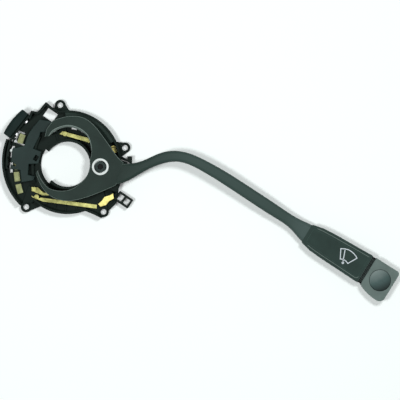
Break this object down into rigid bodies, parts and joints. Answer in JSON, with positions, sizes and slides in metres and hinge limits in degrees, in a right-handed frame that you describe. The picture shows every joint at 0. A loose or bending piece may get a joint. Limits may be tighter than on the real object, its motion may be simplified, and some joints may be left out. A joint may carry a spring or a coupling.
{
  "type": "combination stalk switch",
  "caption": "Steering column wiper stalk switch: ring base round the column bore, cranked lever on a nylon ball pivot, contact slider with detent, push button in the paddle tip.",
  "frame": {"origin": "centre of the column bore at the mounting face, the back of the base and its lugs", "axes": "+X along the ring's centre line towards the lever side and the far end of the stalk, +Z along the column bore towards the driver, +Y completes the right-handed frame"},
  "size_m": [0.3154, 0.089, 0.0223],
  "materials": {
    "base_plastic": "black moulded thermoplastic, fine texture",
    "guard_plastic": "dark grey moulded thermoplastic",
    "lever_plastic": "dark grey-green moulded thermoplastic, satin",
    "paddle_plastic": "dark grey moulded thermoplastic, fine grain",
    "face_plastic": "dark grey moulded thermoplastic, matt",
    "tip_plastic": "dark grey moulded thermoplastic",
    "button_plastic": "dark grey moulded thermoplastic, satin",
    "slider_plastic": "grey-green moulded acetal",
    "brass": "rolled brass strip, satin",
    "tower_brass": "brass strip, darker",
    "nylon": "natural white nylon",
    "black_steel": "black oxide steel",
    "steel": "zinc plated steel"
  },
  "bodies": {
    "root": {"base_housing": "base_plastic", "side_cover": "guard_plastic", "cover_screws": "steel", "contact_pads": "brass", "contact_rail_upper": "brass", "contact_rail_lower": "brass", "contact_rail_inner": "brass", "rail_rivets": "brass", "terminal_tower": "tower_brass", "terminal_plate": "tower_brass", "connector_housing": "base_plastic", "terminal_blades": "brass", "harness_clip": "base_plastic", "harness_hook": "base_plastic", "detent_track": "base_plastic", "pivot_screw": "black_steel", "pivot_nut": "steel"},
    "swivel": {"pivot_bush": "nylon"},
    "lever": {"lever_arm": "lever_plastic", "paddle_shell": "paddle_plastic", "face_plate": "face_plastic", "tip_housing": "tip_plastic", "button_contacts": "brass"},
    "button": {"tip_button": "button_plastic", "button_spring": "steel"},
    "slider": {"contact_slider": "slider_plastic", "sliding_contacts": "brass", "washer_return_spring": "steel"},
    "plunger": {"detent_plunger": "nylon", "detent_spring": "steel"}
  },
  "joints": [
    {"name": "speed_select", "type": "hinge", "parent": "root", "child": "swivel", "pos_m": [0.0245, 0.006, 0.0203], "axis": [0, 0, 1], "range_deg": [-5, 10]},
    {"name": "washer_pull", "type": "hinge", "parent": "swivel", "child": "lever", "pos_m": [0.0245, 0.006, 0.0203], "axis": [0, -1, 0], "range_deg": [0, 4], "stiffness_Nm_per_rad": 8, "springref_deg": -3.44, "deforming": ["washer_return_spring"]},
    {"name": "button_press", "type": "slide", "parent": "lever", "child": "button", "axis": [0, 0, -1], "range_m": [0, 0.0015], "stiffness_N_per_m": 800, "springref_m": -0.001, "deforming": ["button_spring"]},
    {"name": "slider_turn", "type": "hinge", "parent": "root", "child": "slider", "pos_m": [0.0245, 0.006, 0.0203], "axis": [0, 0, 1], "range_deg": [-5, 10]},
    {"name": "detent_press", "type": "slide", "parent": "slider", "child": "plunger", "axis": [-0.9903, -0.1392, 0], "range_m": [0, 0.0006], "stiffness_N_per_m": 500, "springref_m": -0.0005, "deforming": ["detent_spring"]}
  ],
  "couplings": [
    {"joint": "slider_turn", "follows": "speed_select", "ratio": 1}
  ]
}
